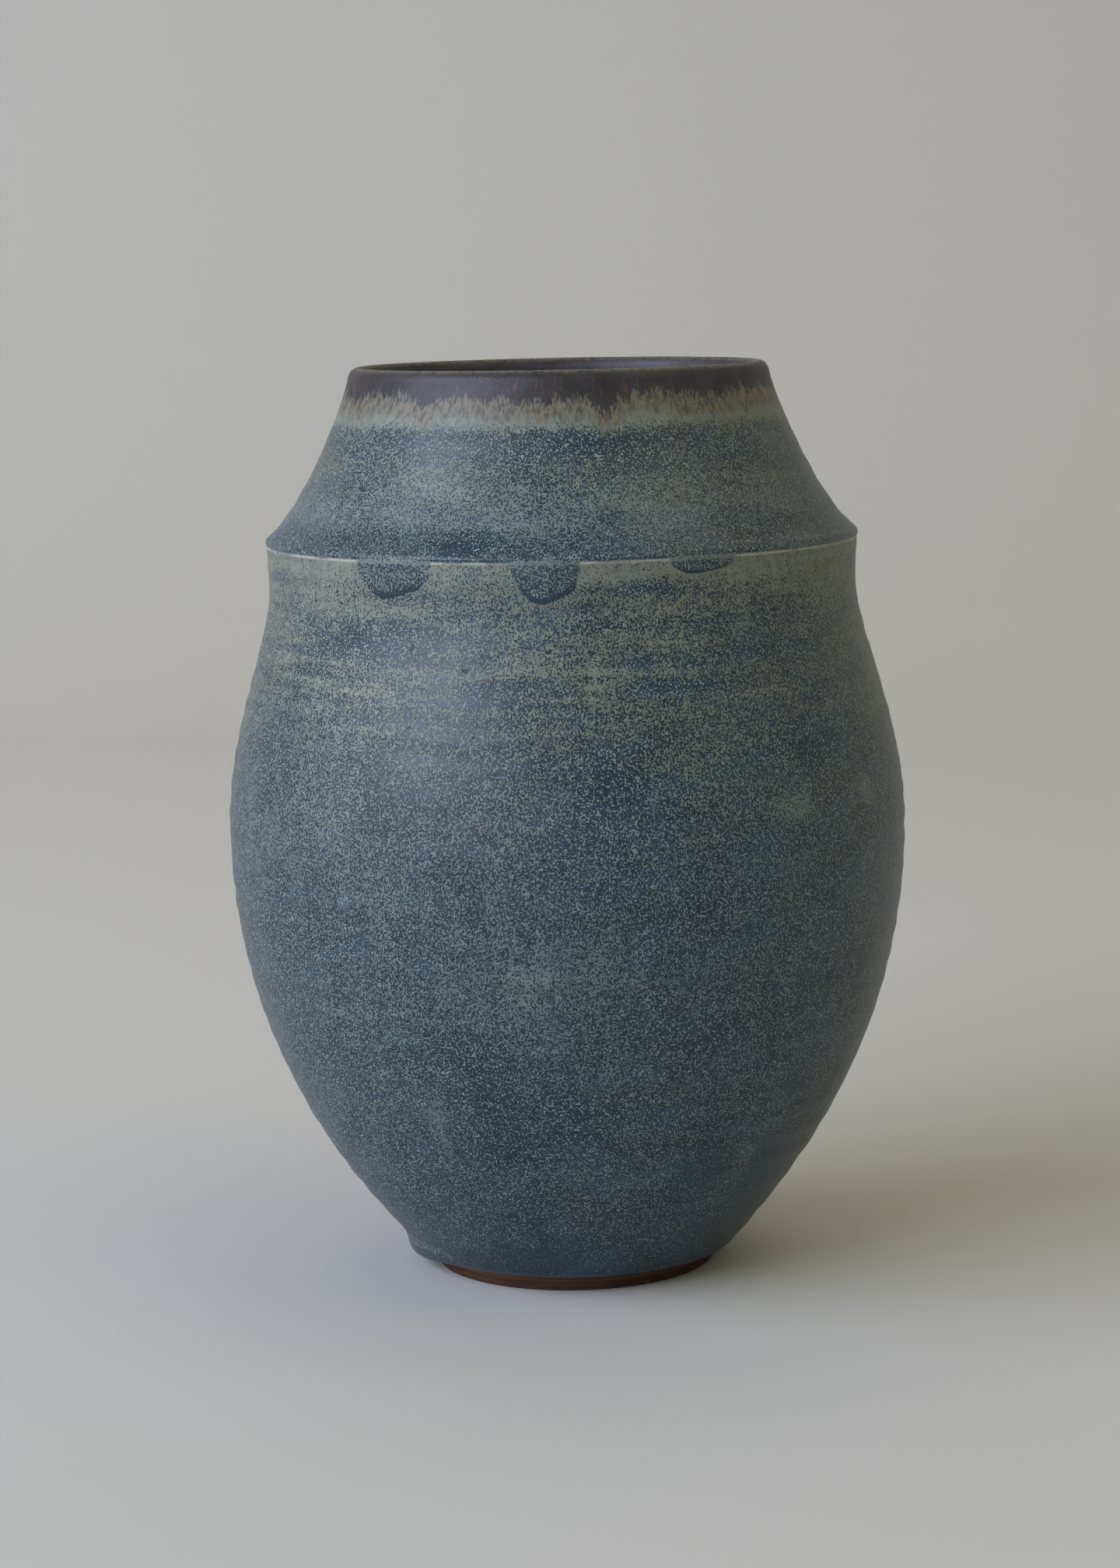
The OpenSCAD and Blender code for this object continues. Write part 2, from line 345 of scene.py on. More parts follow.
def cut_outline(node):
    """The outline of one side of a turned piece, cut through its axis: radius and height."""
    bm = bmesh.new()
    bm.from_mesh(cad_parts[node].data)
    bmesh.ops.remove_doubles(bm, verts=bm.verts, dist=weld)
    cut = bmesh.ops.bisect_plane(bm, geom=[*bm.verts, *bm.edges, *bm.faces], dist=hair,
                                 plane_co=(0, 0, 0), plane_no=(0, 1, 0))["geom_cut"]
    beside = {}
    for edge in cut:
        if isinstance(edge, bmesh.types.BMEdge):
            a, b = ((round(v.co.x, 7), round(v.co.z, 7)) for v in edge.verts)
            if a != b and min(a[0], b[0]) > -hair:
                beside.setdefault(a, set()).add(b)
                beside.setdefault(b, set()).add(a)
    bm.free()
    path = [min(beside, key=lambda p: (len(beside[p]), p[1], p[0]))]
    last = None
    while True:
        ahead = [p for p in beside[path[-1]] if p != last and p != path[0]]
        if not ahead:
            break
        last = path[-1]
        path.append(ahead[0])
    if path[0] not in beside[path[-1]]:
        path = [(0.0, path[0][1]), *path, (0.0, path[-1][1])]
    path = np.array(path)
    spaced = np.linalg.norm(path - np.roll(path, 1, axis=0), axis=1) > same_point
    after = np.roll(path, -1, axis=0)
    area = np.sum(path[:, 0] * after[:, 1] - after[:, 0] * path[:, 1])
    return path[spaced] if area > 0 else path[spaced][::-1]


def stretches(node):
    """That outline, anticlockwise, in smooth stretches that run from corner to corner."""
    path = cut_outline(node)
    before = path - np.roll(path, 1, axis=0)
    after = np.roll(path, -1, axis=0) - path
    bend = np.angle((after[:, 0] + 1j * after[:, 1]) / (before[:, 0] + 1j * before[:, 1]))
    corners = [i for i in range(len(path)) if abs(bend[i]) > corner_bend]
    path = np.roll(path, -corners[0], axis=0)
    path = np.vstack([path, path[:1]])
    ends = [i - corners[0] for i in corners] + [len(path) - 1]
    return [path[a:b + 1] for a, b in zip(ends, ends[1:])]


def run_along(line):
    """Distance from the start of a line to each of its points."""
    return np.concatenate([[0], np.cumsum(np.linalg.norm(np.diff(line, axis=0), axis=1))])


def smooth_line(points, step):
    """Evenly spaced points on a smooth curve through the given ones."""
    run = run_along(points)
    if len(points) == 2:
        slope = np.array([(points[1] - points[0]) / run[1]] * 2)
    else:
        slope = np.gradient(points, run, axis=0, edge_order=2)
    spots = np.linspace(0, run[-1], max(2, math.ceil(run[-1] / step) + 1))
    i = np.clip(np.searchsorted(run, spots, side="right") - 1, 0, len(points) - 2)
    gap = np.diff(run)[i][:, None]
    t = (spots - run[i])[:, None] / gap
    return ((2 * t**3 - 3 * t**2 + 1) * points[i] + (t**3 - 2 * t**2 + t) * slope[i] * gap
            + (3 * t**2 - 2 * t**3) * points[i + 1] + (t**3 - t**2) * slope[i + 1] * gap)


def turning_tree():
    """Geometry nodes that turn an outline about Z and leave the marks of the making on it."""
    tree = bpy.data.node_groups.new("turning", "GeometryNodeTree")
    face = tree.interface
    face.new_socket("Outline", in_out="INPUT", socket_type="NodeSocketGeometry")
    face.new_socket("Segments", in_out="INPUT", socket_type="NodeSocketInt")
    for name in ("Ring pitch", "Ring depth", "Lump size", "Lump height", "Seed"):
        face.new_socket(name, in_out="INPUT", socket_type="NodeSocketFloat")
    face.new_socket("Finish", in_out="INPUT", socket_type="NodeSocketMaterial")
    face.new_socket("Piece", in_out="OUTPUT", socket_type="NodeSocketGeometry")
    wire = Wire(tree)
    given = {plug.name: Wire(tree, plug) for plug in tree.nodes.new("NodeGroupInput").outputs}
    outline = given["Outline"]
    rows = wire.add("GeometryNodeAttributeDomainSize", {}, {"Geometry": outline})
    grid = wire.add("GeometryNodeMeshGrid", {},
                    {"Vertices X": rows, "Vertices Y": given["Segments"] + 1})
    index = wire.add("GeometryNodeInputIndex")
    row = wire.sum("FLOOR", (index + 0.5) / (given["Segments"] + 1))
    turn = (index - row * (given["Segments"] + 1)) / given["Segments"] * math.tau

    def of_row(name, kind):
        known = wire.add("GeometryNodeInputNamedAttribute", {"data_type": kind}, {"Name": name})
        return wire.add("GeometryNodeSampleIndex", {"data_type": kind},
                        {"Geometry": outline, "Value": known, "Index": row})

    def round_axis(vector):
        return wire.add("ShaderNodeVectorRotate", {"rotation_type": "Z_AXIS"},
                        {"Vector": vector, "Angle": turn})

    place = round_axis(of_row("position", "FLOAT_VECTOR"))
    outward = round_axis(of_row("outward", "FLOAT_VECTOR"))
    marks = of_row("marks", "FLOAT")
    shift = wire.add("ShaderNodeCombineXYZ", {}, {"X": given["Seed"], "Z": given["Seed"]})
    moved = wire.add("ShaderNodeVectorMath", {"operation": "ADD"}, {0: place, 1: shift})
    drift = wire.grain(moved, *ring_drift_size, detail=1.0)
    height = wire.add("ShaderNodeSeparateXYZ", {}, {0: place}, 2)
    phase = height / given["Ring pitch"] * math.tau + turn + drift * ring_wander
    strength = wire.grain(moved, *ring_fading_size, detail=1.0).fade(0.35, 0.62)
    ring = wire.sum("SINE", phase) * strength
    size = wire.add("ShaderNodeCombineXYZ", {},
                    {axis: given["Lump size"] for axis in ("X", "Y", "Z")})
    lump = wire.add("ShaderNodeVectorMath", {"operation": "DIVIDE"}, {0: moved, 1: size})
    lump = wire.add("ShaderNodeTexNoise", {}, {"Vector": lump, "Scale": 1.0, "Detail": 2.0})
    lift = (ring * given["Ring depth"] + (lump - 0.5) * given["Lump height"]) * marks
    offset = wire.add("ShaderNodeVectorMath", {"operation": "SCALE"},
                      {0: outward, "Scale": lift})
    shaped = wire.add("GeometryNodeSetPosition", {},
                      {"Geometry": grid, "Position": place, "Offset": offset})
    for name, value in (("along", of_row("along", "FLOAT")), ("ring", ring * marks)):
        shaped = wire.add("GeometryNodeStoreNamedAttribute", {"data_type": "FLOAT"},
                          {"Geometry": shaped, "Name": name, "Value": value})
    shaped = wire.add("GeometryNodeMergeByDistance", {},
                      {"Geometry": shaped, "Distance": row_weld})
    shaped = wire.add("GeometryNodeRealizeInstances", {}, {"Geometry": shaped})
    shaped = wire.add("GeometryNodeSetMaterial", {},
                      {"Geometry": shaped, "Material": given["Finish"]})
    tree.links.new(shaped.plug, tree.nodes.new("NodeGroupOutput").inputs[0])
    return tree


turning = turning_tree()


def unroll(mesh, strips):
    """Lays a turned shell out flat in strips, one above the other, in its bake map."""
    corner = np.empty(len(mesh.loops), int)
    mesh.loops.foreach_get("vertex_index", corner)
    spot = np.empty(len(mesh.vertices) * 3)
    mesh.vertices.foreach_get("co", spot)
    spot = spot.reshape(-1, 3)
    along = np.empty(len(mesh.vertices))
    mesh.attributes["along"].data.foreach_get("value", along)
    sides = np.empty(len(mesh.polygons), int)
    mesh.polygons.foreach_get("loop_total", sides)
    face = np.repeat(np.arange(len(sides)), sides)
    middle = np.stack([np.bincount(face, spot[corner, i]) for i in (0, 1)], axis=1)[face]
    centre = np.arctan2(middle[:, 0], -middle[:, 1]) / math.tau
    turn = np.arctan2(spot[corner, 0], -spot[corner, 1]) / math.tau
    apart = (turn - centre + 0.5) % 1 - 0.5
    apart[np.hypot(*spot[corner, :2].T) < same_point] = 0
    strip = np.floor((centre % 1) * strips)
    u = np.clip((centre % 1 + apart) * strips - strip, 0, 1)
    v = (strip + strip_margin + (1 - 2 * strip_margin) * along[corner]) / strips
    layer = mesh.uv_layers.new(name="OFBake")
    layer.data.foreach_set("uv", np.stack([u, v], axis=1).ravel())


def outline_mesh(name, node, steps, marks, fade):
    """A CAD node's outline with fine steps. Its points carry the way out, their share of the
    making marks, and how far along the bake map they lie, where hidden stretches get little."""
    places, outward, depth, share = [], [], [], []
    for stretch, step, mark in zip(stretches(node), steps, marks, strict=True):
        line = smooth_line(stretch, step)
        run = run_along(line)
        lean = np.gradient(line, axis=0)
        lean /= np.linalg.norm(lean, axis=1)[:, None]
        edge = np.minimum(run, run[-1] - run) / fade
        places += list(line[:-1])
        outward += list(np.stack([lean[:, 1], -lean[:, 0]], axis=1)[:-1])
        depth += list((mark * np.clip(edge, 0, 1) ** 2)[:-1])
        share += list(np.diff(run) * (1.0 if mark else hidden_share))
    places.append(places[0])
    outward.append(outward[0])
    depth.append(depth[0])
    share = np.concatenate([[0], np.cumsum(share)]) / np.sum(share)
    mesh = bpy.data.meshes.new(name)
    mesh.from_pydata([(r, 0, z) for r, z in places], [], [])
    way_out = mesh.attributes.new("outward", "FLOAT_VECTOR", "POINT")
    way_out.data.foreach_set("vector", [c for r, z in outward for c in (r, 0, z)])
    mesh.attributes.new("marks", "FLOAT", "POINT").data.foreach_set("value", depth)
    mesh.attributes.new("along", "FLOAT", "POINT").data.foreach_set("value", share)
    return mesh


def turned(name, node, finish, steps, marks, ring_pitch, ring_depth, lump_size=0.03,
           lump_height=0.0, seed=0.0, strips=1, fade=0.006):
    """Turn a CAD node's outline again. Each smooth stretch of the outline has its own step
    length and its own share of the making marks."""
    outline = outline_mesh(name, node, steps, marks, fade)
    blank = bpy.data.objects.new(name + "_outline", outline)
    bpy.context.scene.collection.objects.link(blank)
    lathe = blank.modifiers.new("turning", "NODES")
    lathe.node_group = turning
    socket = {s.name: s.identifier for s in turning.interface.items_tree
              if s.item_type == "SOCKET"}
    for key, value in (("Segments", turned_segments), ("Ring pitch", ring_pitch),
                       ("Ring depth", ring_depth), ("Lump size", lump_size),
                       ("Lump height", lump_height), ("Seed", seed), ("Finish", finish)):
        lathe[socket[key]] = value
    bpy.context.view_layer.update()
    ready = blank.evaluated_get(bpy.context.evaluated_depsgraph_get())
    shell = bpy.data.meshes.new_from_object(ready)
    blank.modifiers.remove(lathe)
    bpy.data.objects.remove(blank)
    shell.name = name
    bm = bmesh.new()
    bm.from_mesh(shell)
    bmesh.ops.dissolve_degenerate(bm, edges=bm.edges, dist=hair)
    loose = [edge for edge in bm.edges if not edge.link_faces]
    bmesh.ops.delete(bm, geom=loose, context="EDGES")
    bmesh.ops.recalc_face_normals(bm, faces=bm.faces)
    bm.to_mesh(shell)
    bm.free()
    shell.shade_smooth()
    shell.set_sharp_from_angle(angle=sharp_bend)
    unroll(shell, strips)
    piece = bpy.data.objects.new(name, shell)
    bpy.context.scene.collection.objects.link(piece)
    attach(piece, "root")
    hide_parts(node)
    return piece


foot = turned("turned_foot", "foot_ring", fired_clay("foot_clay", foot_flash),
              steps=(0.00025, 0.002, 0.002, 0.002), marks=(1, 0, 0, 0),
              ring_pitch=foot_groove_pitch, ring_depth=foot_groove_depth, fade=0.0006)

# ---------------------------------------------------------------------------------------------
# Body glaze. A satin blue dip over the dark clay, about a millimetre thick. As it cooled it
# grew pale sage crystals: scattered grains low down, a close net higher up where it ran thin.

navy = (0.011, 0.028, 0.045, 1)
sea_blue = (0.015, 0.046, 0.074, 1)
soot = (0.015, 0.022, 0.027, 1)
slate = (0.046, 0.076, 0.083, 1)
cool_sage = (0.180, 0.230, 0.224, 1)
warm_sage = (0.236, 0.250, 0.188, 1)
fresh_sage = (0.34, 0.43, 0.41, 1)
cream = (0.48, 0.46, 0.38, 1)
crystal_size = (0.00050, 0.00060)
heap_size = 0.0026
hue_size = (0.016, 0.012)
soot_size = 0.004
cloud_size = (0.040, 0.026)
drift_size = (0.006, 0.022)
band_size = (0.045, 0.0034)
shine_size = 0.008
pinhole_size = 0.0016
glaze_relief = 0.00010
edge_below = 0.0007      # the pale line under the sharp edge: its lower limit, and where it is full
edge_crisp = 0.0002

ridge_h = cut_outline("body_glaze")[:, 1].max()
belly_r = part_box("body_glaze")[1].x

# How pale the glaze is, by height up the body as a share of the ridge's height
body_paleness = [
    (0.025, 0.0), (0.045, 0.04), (0.065, 0.15), (0.10, 0.22), (0.15, 0.25), (0.22, 0.30),
    (0.32, 0.35), (0.45, 0.39), (0.60, 0.45), (0.70, 0.45), (0.76, 0.48), (0.81, 0.52),
    (0.86, 0.54), (0.905, 0.54), (0.94, 0.58), (0.97, 0.66), (0.99, 0.84)
]

# Places where the dip lay thinner (paler) or thicker (bluer) than round them, with painted shade
# and a painted reflection among them: turn in degrees from the front, height in metres, half
# width, half height and how much paler
body_patches_with_painted_light = [
    (9, 0.160, 0.018, 0.015, -0.22), (39, 0.153, 0.008, 0.0045, 0.35),
    (59, 0.154, 0.006, 0.004, 0.35), (48, 0.169, 0.030, 0.008, -0.22),
    (-27, 0.064, 0.005, 0.006, 0.22), (-27, 0.052, 0.004, 0.010, 0.18),
    (40, 0.043, 0.006, 0.011, 0.28), (-4, 0.106, 0.030, 0.024, 0.06),
    # The first patch on the next line, at -38 degrees, is a painted reflection: the window's bluish
    # sheen in the hollow under the ridge.
    (-38, 0.204, 0.024, 0.006, -0.25), (-22, 0.182, 0.030, 0.012, -0.10),
    (22, 0.190, 0.030, 0.003, -0.20), (30, 0.1985, 0.035, 0.002, -0.20),
    (24, 0.209, 0.040, 0.002, -0.18), (16, 0.218, 0.014, 0.0025, -0.35),
    # Both patches on the next line are painted shade on the right side, away from the window.
    (48, 0.100, 0.050, 0.080, -0.10), (54, 0.036, 0.030, 0.020, -0.18),
    (150, 0.120, 0.020, 0.016, 0.25), (-130, 0.170, 0.025, 0.008, 0.25),
    (118, 0.070, 0.012, 0.018, 0.20)
]


def ramp(wire, stops):
    """Value by place along a list of stops."""
    grey = [(place, (level, level, level, 1)) for place, level in stops]
    return wire.add("ShaderNodeValToRGB", {"stops": grey}, {0: wire})


def patchwork(coat, patches, radius):
    """Sum of soft oval patches on the pot."""
    ovals = []
    for turn, height, half_w, half_h, amount in patches:
        across = (coat.turn - math.radians(turn)) * (radius / half_w)
        up = (coat.height - height) / half_h
        ovals.append(coat.sum("EXPONENT", 0 - (across * across + up * up)) * amount)
    return sum(ovals)


def speckled(coat, pale, warm):
    """Crystals over blue: colour, roughness and relief. Pale is how much they cover, from 0 to
    1, and warm turns their grey green to a yellower one."""
    grains = coat.speck(*crystal_size, detail=1.5, roughness=0.55)
    heap = coat.speck(heap_size, detail=1.0)
    cover = (grains - 0.5) * 1.3 + (pale - 0.5) * 0.42 + (heap - 0.5) * 0.06
    fleck = cover.fade(-0.030, 0.045)
    deep = coat.speck(*hue_size).fade(0.38, 0.66).tint(navy, sea_blue)
    deep = coat.speck(soot_size, detail=3.0).fade(0.50, 0.72, 0.0, 0.6).tint(deep, soot)
    deep = pale.fade(0.45, 1.0, 0.0, 0.80).tint(deep, slate)
    light = warm.tint(cool_sage, warm_sage)
    light = pale.fade(0.22, 0.46, 0.70, 0.0).tint(light, fresh_sage)
    light = heap.fade(0.3, 0.7, 0.25, 0.0).tint(light, deep)
    colour = (fleck * 0.94).tint(deep, light)
    return colour, fleck.fade(0.0, 1.0, 0.36, 0.50), fleck * 0.5 + grains * 0.5


def body_coat():
    """Crystals in clouds, drifts and bands, pinholes, and cream where the glaze breaks over the
    sharp edge of the ridge."""
    coat = Coat("speckled_body")
    up = coat.height / ridge_h
    cloud = coat.speck(*cloud_size, detail=3.0)
    drift = coat.speck(*drift_size)
    band = coat.speck(*band_size, detail=2.5, roughness=0.6)
    banding = up.fade(0.70, 0.84, 0.06, 0.80)
    ring = coat.add("ShaderNodeAttribute", {"attribute_name": "ring"}, {}, 2)
    # Besides the glaze's own thin and thick places, the patches carry painted shade on the right
    # side and a painted reflection on the left.
    pale = ramp(up, body_paleness) + patchwork(coat, body_patches_with_painted_light, belly_r) + ring * 0.025
    pale = pale + (cloud - 0.5) * 0.55 + (drift - 0.5) * 0.25 + (band - 0.5) * banding
    warm = up.fade(0.55, 0.86) * 0.9 + (cloud - 0.5) * 0.8
    colour, rough, relief = speckled(coat, pale, warm)
    edge = coat.height.fade(ridge_h - edge_below, ridge_h - edge_crisp)
    shine = coat.speck(shine_size, detail=1.0).fade(0.35, 0.60, 0.3, 0.8)
    colour = (edge * shine).tint(colour, cream)
    pin = coat.speck(pinhole_size, detail=0.0).fade(0.80, 0.83)
    return coat.finish(pin.tint(colour, soot), rough, relief - pin * 1.5, glaze_relief)


body = turned("glazed_body", "body_glaze", body_coat(), steps=(0.002, 0.008, 0.0011),
              marks=(0, 0, 1), ring_pitch=0.0085, ring_depth=0.00016, lump_size=0.045,
              lump_height=0.0008, strips=2)

# ---------------------------------------------------------------------------------------------
# Runs of glaze. Where the dip lay too thick it crept in the firing: three fat tongues over the
# ridge, and one at the foot that set as a rounded bead just clear of the shelf.

run_step = 0.0004
run_reach = 1.25         # how much further than the run its skin goes, under the glaze
run_sunk = 0.0003        # how deep it lies there, and how deep its back lies
run_back = 0.0007
rim_level = 0.9          # the rim of a run starts below this share of its thickness
softening = 9            # points that the way out is averaged over, round the ridge's corner
run_cloud = 0.010
edge_width = 0.0009
above_ridge = 0.0012     # how far up the shoulder a tongue starts
tongue_top = 0.35        # share of its drop where it gets as pale as it is at the ridge
ridge_share = 0.42       # its thickness at the ridge, as a share of the greatest
skin_share = 0.12        # how far its skin is let into the glaze, as a share too


def bead(name, node, line, turn, half_w, lift, finish):
    """A closed skin of glaze on the pot. Lift gives how far it stands out by the distance
    across, as a share of its half width, and the distance down the line. Its rim value goes
    from 0, where it is fat, to 1 at its outline."""
    line = smooth_line(line, run_step)
    run = run_along(line)
    lean = np.gradient(line, axis=0)
    soft = np.hanning(softening) / np.hanning(softening).sum()
    lean = np.stack([np.convolve(np.pad(lean[:, i], softening // 2, "edge"), soft, "valid")
                     for i in (0, 1)], axis=1)
    lean /= np.linalg.norm(lean, axis=1)[:, None]
    outward = np.stack([-lean[:, 1], lean[:, 0]], axis=1)
    rows = len(run)
    columns = math.ceil(2 * run_reach * half_w / run_step)
    across = np.linspace(-run_reach, run_reach, columns)
    stand = np.array([[lift(s, d) for s in across] for d in run])
    rim = np.clip(1 - stand / (rim_level * stand.max()), 0, 1)
    angle = math.radians(turn) + across * half_w / line[:, 0].max()
    skins = []
    for depth in (np.maximum(stand, -run_sunk), np.full_like(stand, -run_back)):
        radius = line[:, :1] + depth * outward[:, :1]
        height = line[:, 1:] + depth * outward[:, 1:]
        skins.append(np.stack([radius * np.sin(angle), -radius * np.cos(angle), height], axis=2))

    def at(side, i, j):
        return side * rows * columns + i * columns + j

    faces = [(at(k, i, j), at(k, i + 1, j), at(k, i + 1, j + 1), at(k, i, j + 1))
             for k in (0, 1) for i in range(rows - 1) for j in range(columns - 1)]
    faces += [(at(0, i, j), at(0, i + 1, j), at(1, i + 1, j), at(1, i, j))
              for i in range(rows - 1) for j in (0, columns - 1)]
    faces += [(at(0, i, j), at(0, i, j + 1), at(1, i, j + 1), at(1, i, j))
              for j in range(columns - 1) for i in (0, rows - 1)]
    mesh = bpy.data.meshes.new(name)
    mesh.from_pydata(np.concatenate([s.reshape(-1, 3) for s in skins]).tolist(), [], faces)
    edge = mesh.attributes.new("rim", "FLOAT", "POINT")
    edge.data.foreach_set("value", np.concatenate([rim.ravel(), rim.ravel()]))
    bm = bmesh.new()
    bm.from_mesh(mesh)
    bmesh.ops.recalc_face_normals(bm, faces=bm.faces)
    bm.to_mesh(mesh)
    bm.free()
    mesh.shade_smooth()
    mesh.materials.append(finish)
    piece = bpy.data.objects.new(name, mesh)
    bpy.context.scene.collection.objects.link(piece)
    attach(piece, "root")
    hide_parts(node)


def run_coat(name, tip, top, tip_pale, top_pale, pool_and_shade_pale, rim_pale, warm):
    """Speckled glaze whose paleness goes from a tip to a top height. Inside its rim, towards the
    lower edge, it is darkened for glaze that pooled there and for painted shade under the run; this
    fades out towards the top, and the rim itself is paler by rim_pale."""
    coat = Coat(name)
    rim = coat.add("ShaderNodeAttribute", {"attribute_name": "rim"}, {}, 2)
    cloud = coat.speck(run_cloud)
    pale = coat.height.fade(tip, top, tip_pale, top_pale) + (cloud - 0.5) * 0.25
    # A band inside the rim, darkest at the lower edge: pooled glaze, and painted shade under the
    # run.
    pool_and_shade = rim.fade(0.10, 0.55) * rim.fade(0.80, 1.0, 1.0, 0.0)
    pale = pale + pool_and_shade * coat.height.fade(tip, top, pool_and_shade_pale, 0.0)
    pale = pale + rim.fade(0.82, 1.0) * rim_pale
    edge = 1 - coat.sum("ABSOLUTE", coat.height - ridge_h).fade(edge_crisp, edge_width)
    colour, rough, relief = speckled(coat, pale + edge * 0.4, coat.even(warm))
    return coat.finish(colour, rough * 0.85, relief, glaze_relief)


def tongue(drop, thick, skew, above):
    """How far a run under the ridge stands out: fattest near its lower edge, and feathered
    away above the ridge."""
    def lift(across, down):
        below = (down - above) / drop
        if below < 0:
            feather = (1 - (below * drop / above) ** 2) ** 2
            return thick * (ridge_share * feather * max(0.0, 1 - across ** 4) - skin_share)
        wave = 0.06 * math.sin(5.0 * across + 3.0 * skew) + skew * across
        fill = max(0.0, 1 - across ** 2 - max(0.0, below + wave * below) ** 2)
        belly = ridge_share + (1 - ridge_share) * min(1.0, below) ** 1.2
        return thick * belly * fill ** 0.75 - (skin_share * thick if fill > 0 else run_sunk)
    return lift


# Turn from the front in degrees, drop below the ridge, half width, thickness and slant
ridge_runs = {
    "ridge_run_left": (-32.8, 0.0108, 0.0145, 0.0011, 0.02),
    "ridge_run_middle": (-3.2, 0.0120, 0.0112, 0.0013, -0.08),
    "ridge_run_right": (26.5, 0.0046, 0.0118, 0.0009, 0.05),
}

over = smooth_line(stretches("shoulder_glaze")[0][::-1], run_step)
under = smooth_line(stretches("body_glaze")[-1][::-1], run_step)
for node, (turn, drop, half_w, thick, skew) in ridge_runs.items():
    upper = over[over[:, 1] < ridge_h + above_ridge]
    lower = under[under[:, 1] > ridge_h - drop * run_reach]
    # The tongues get darker inside their lower rim: pooled glaze, and painted shade under the run.
    coat = run_coat(node + "_coat", tip=ridge_h - drop, top=ridge_h - drop * tongue_top,
                    tip_pale=0.34, top_pale=0.46, pool_and_shade_pale=-0.55, rim_pale=0.25, warm=0.35)
    bead("tongue_" + node, node, np.concatenate([upper[:-1], lower]), turn, half_w,
         tongue(drop, thick, skew, run_along(upper)[-1]), coat)

foot_run_turn = -72
foot_run_half_w = 0.034
foot_run_thick = 0.0029
foot_run_rise = 0.009
foot_run_behind = 1.3
foot_run_before = 2.7
foot_run_sunk = 0.00005
hem_top = 0.012


def foot_bead(across, down):
    """How far the run at the foot stands out: it swells over the rise, then stays fat round
    the lower edge, and feathers away at its sides, sooner behind than in front."""
    peak = (foot_run_behind - foot_run_before) / (foot_run_behind + foot_run_before)
    a = min(1.0, max(-1.0, across))
    side = (((1 + a) / (1 + peak)) ** foot_run_behind
            * ((1 - a) / (1 - peak)) ** foot_run_before)
    swell = min(1.0, down / foot_run_rise)
    return foot_run_thick * side * swell ** 2 * (3 - 2 * swell) - foot_run_sunk


foot_run_coat = run_coat("foot_run_coat", tip=0.0045, top=0.0105, tip_pale=-0.15, top_pale=0.30,
                         pool_and_shade_pale=0.0, rim_pale=0.0, warm=0.0)
bead("foot_tongue", "foot_run", under[under[:, 1] < hem_top], foot_run_turn, foot_run_half_w,
     foot_bead, foot_run_coat)

# ---------------------------------------------------------------------------------------------
# Shoulder glaze. The same dip, shaken on again above the ridge. It is thick and dark just over
# the sharp edge, netted with sage above, and melts into the iron of the rim in fine streaks.

pot_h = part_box("rim_glaze")[1].z
ridge_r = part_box("shoulder_glaze")[1].x
mouth_r = 0.23 * pot_h
shoulder_rise = pot_h - ridge_h
iron_width = 0.0085
crest_width = 0.0014     # the grey line on the lip, wear and a painted highlight: its lower limit, and where it is full
crest_crisp = 0.0002
edge_start = 0.0001      # the pale line over the sharp edge: where it starts to fade, and ends
edge_above = 0.0005
shoulder_cloud = (0.030, 0.012)
streak_size = (0.0008, 0.009)
tuft_size = (0.0034, 0.030)
sway_size = (0.022, 0.060)
tone_size = (0.0012, 0.006)
violet_size = (0.009, 0.006)
ember_size = (0.0014, 0.0090)
wear_and_highlight_size = 0.0020
fine_size = 0.0009
iron_black = (0.021, 0.017, 0.0185, 1)
iron_violet = (0.036, 0.031, 0.040, 1)
rust = (0.130, 0.062, 0.032, 1)
straw = (0.200, 0.165, 0.105, 1)
wear_and_highlight_grey = (0.125, 0.115, 0.085, 1)
bark = (0.075, 0.050, 0.032, 1)
sage_band = (0.165, 0.184, 0.148, 1)
sage_thin = (0.115, 0.130, 0.108, 1)

# How pale the shoulder is, by height between the ridge and the lip, and its own patches, one of
# which is painted shade
shoulder_paleness = [
    (0.0, 0.50), (0.03, 0.38), (0.09, 0.37), (0.14, 0.48), (0.19, 0.57), (0.28, 0.57),
    (0.42, 0.53), (0.52, 0.47), (0.60, 0.39), (0.67, 0.38), (0.72, 0.55), (0.78, 1.0)
]
shoulder_patches_with_painted_shade = [
    (-20, 0.2305, 0.010, 0.003, -0.30), (12, 0.258, 0.025, 0.006, -0.15),
    # The second patch on the next line, at 36 degrees, is painted shade on the side away from the
    # window.
    (-38, 0.262, 0.020, 0.006, -0.10), (36, 0.250, 0.032, 0.016, -0.08)
]

# Patches where the border of the iron hangs lower or stands higher, by how many metres
border_dips = [
    (-36, 0.268, 0.0035, 0.020, 0.0030), (11.5, 0.268, 0.0040, 0.020, 0.0045),
    (38, 0.268, 0.026, 0.030, -0.0006), (-12, 0.268, 0.010, 0.020, 0.0010)
]


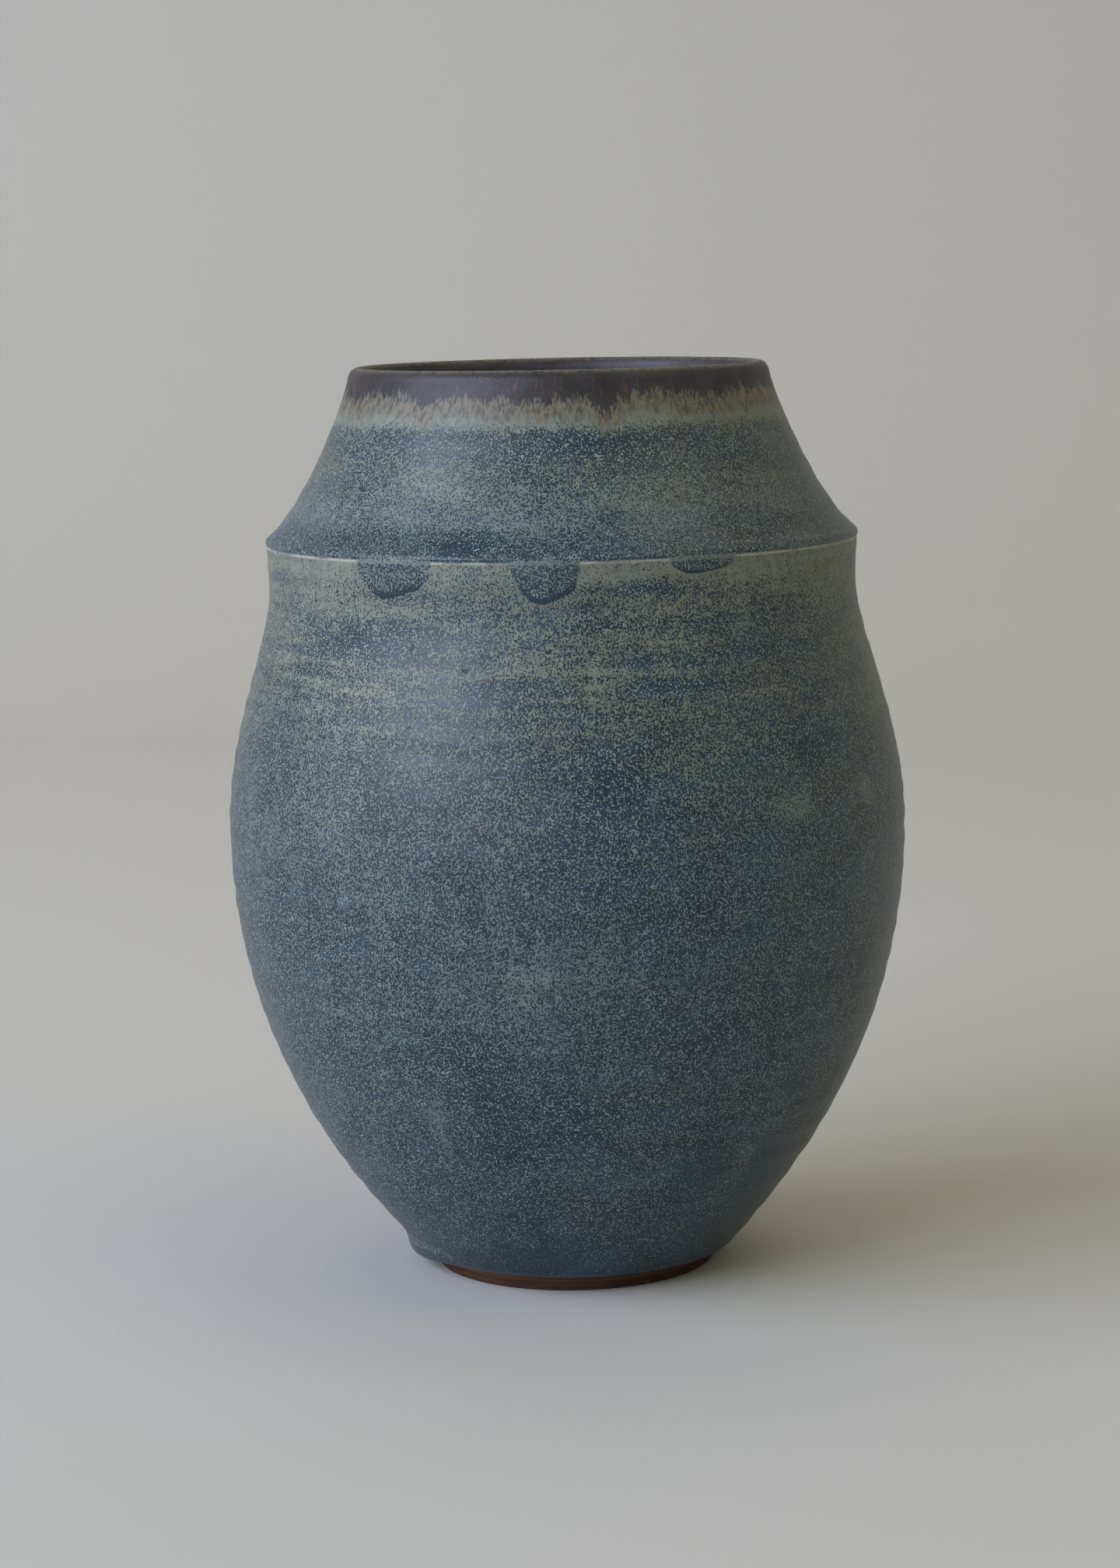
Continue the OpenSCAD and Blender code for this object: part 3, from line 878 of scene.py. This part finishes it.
def shoulder_coat(name):
    """Sage net, streaked border and iron rim, by height. The coat goes on over the lip."""
    coat = Coat(name)
    cloud = coat.speck(*shoulder_cloud, detail=3.0)
    streak = coat.speck(*streak_size, roughness=0.6)
    tuft = coat.speck(*tuft_size)
    sway = coat.speck(*sway_size, detail=1.0)
    ragged = (streak - 0.5) * 0.010 + (tuft - 0.5) * 0.007 + (sway - 0.5) * 0.004
    ragged = ragged + patchwork(coat, border_dips, mouth_r)
    up = (coat.height - ridge_h) / shoulder_rise
    wavy = up + ragged * (0.8 / shoulder_rise)
    pale = ramp(wavy, shoulder_paleness) + patchwork(coat, shoulder_patches_with_painted_shade, ridge_r)
    in_band = up.fade(0.64, 0.75)
    pale = pale + (cloud - 0.5) * 0.55 * (1 - in_band) + in_band * 0.5
    warm = up.fade(0.15, 0.45) * 0.75 + (cloud - 0.5) * 0.8
    colour, rough, relief = speckled(coat, pale, warm)
    band = streak.fade(0.35, 0.60).tint(sage_thin, sage_band)
    colour = (wavy.fade(0.71, 0.78) * 0.9).tint(colour, band)
    edge = 1 - (coat.height - ridge_h).fade(edge_start, edge_above)
    shine = coat.speck(shine_size, detail=1.0).fade(0.35, 0.60, 0.3, 0.8)
    colour = (edge * shine).tint(colour, cream)
    border = coat.height + ragged - (pot_h - iron_width)
    stain = border.fade(-0.0075, -0.0015) * streak.fade(0.34, 0.50)
    tone = coat.speck(*tone_size).fade(0.40, 0.60)
    colour = (stain * 0.85).tint(colour, tone.tint(straw, bark))
    dark = coat.speck(*violet_size).fade(0.35, 0.65).tint(iron_black, iron_violet)
    ember = coat.speck(*ember_size).fade(0.58, 0.74)
    dark = (ember * 0.55).tint(dark, rust)
    # The grey line along the crest is wear, and a painted highlight on the round of the lip as
    # well.
    crest = coat.height.fade(pot_h - crest_width, pot_h - crest_crisp)
    wear_and_highlight = crest * coat.speck(wear_and_highlight_size).fade(0.30, 0.58)
    dark = (wear_and_highlight * 0.75).tint(dark, wear_and_highlight_grey)
    iron = border.fade(-0.0006, 0.0012)
    rough = iron * 0.47 + (1 - iron) * rough
    relief = iron * (coat.speck(fine_size) - relief) + relief
    return coat.finish(iron.tint(colour, dark), rough, relief, glaze_relief)


shoulder = turned("glazed_shoulder", "shoulder_glaze", shoulder_coat("speckled_shoulder"),
                  steps=(0.0011, 0.002, 0.008, 0.002), marks=(1, 0, 0, 0), ring_pitch=0.009,
                  ring_depth=0.00012, lump_size=0.03, lump_height=0.0006, seed=3.0, strips=2)

# ---------------------------------------------------------------------------------------------
# Rim glaze. A thin dip of iron glaze over the lip, in and out, that came out nearly black, with
# rust in it, and wore to a grey line along the crest, which also carries a painted highlight.

rim = turned("glazed_rim", "rim_glaze", shoulder_coat("iron_rim"),
             steps=(0.002, 0.0006, 0.002, 0.003, 0.003), marks=(0, 0.5, 0, 0, 0),
             ring_pitch=0.009, ring_depth=0.0, lump_size=0.02, lump_height=0.0004, seed=3.0)

# ---------------------------------------------------------------------------------------------
# Liner glaze. Poured in and out again. A dark brown that broke to rust in trails down the wall
# and pooled a little at the bottom.

liner_dark = (0.018, 0.013, 0.011, 1)
liner_brown = (0.060, 0.034, 0.020, 1)
liner_rust = (0.150, 0.070, 0.034, 1)
trail_size = (0.0035, 0.020)
liner_cloud = (0.022, 0.016)
liner_relief = 0.00015


def liner_coat():
    """Brown in dark and light clouds, with rusty trails down the wall."""
    coat = Coat("brown_liner")
    trail = coat.speck(*trail_size, detail=2.5)
    cloud = coat.speck(*liner_cloud)
    fine = coat.speck(fine_size)
    colour = cloud.fade(0.35, 0.65).tint(liner_dark, liner_brown)
    colour = (trail.fade(0.52, 0.68) * 0.7).tint(colour, liner_rust)
    rough = fine.fade(0.2, 0.8, 0.26, 0.40)
    return coat.finish(colour, rough, fine * 0.4 + trail * 0.6, liner_relief)


liner = turned("glazed_inside", "liner_glaze", liner_coat(),
               steps=(0.008, 0.008, 0.002, 0.003, 0.003, 0.002), marks=(0, 0, 0, 1, 1, 0),
               ring_pitch=0.011, ring_depth=0.0003, lump_size=0.04, lump_height=0.0006,
               seed=7.0, strips=2)

# ---------------------------------------------------------------------------------------------
# The sizes of the CAD model and of the finished pot, for comparison.

boxes = {"cad": cad_box, "visual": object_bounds()}
{name: [list(corner) for corner in box] for name, box in boxes.items()}
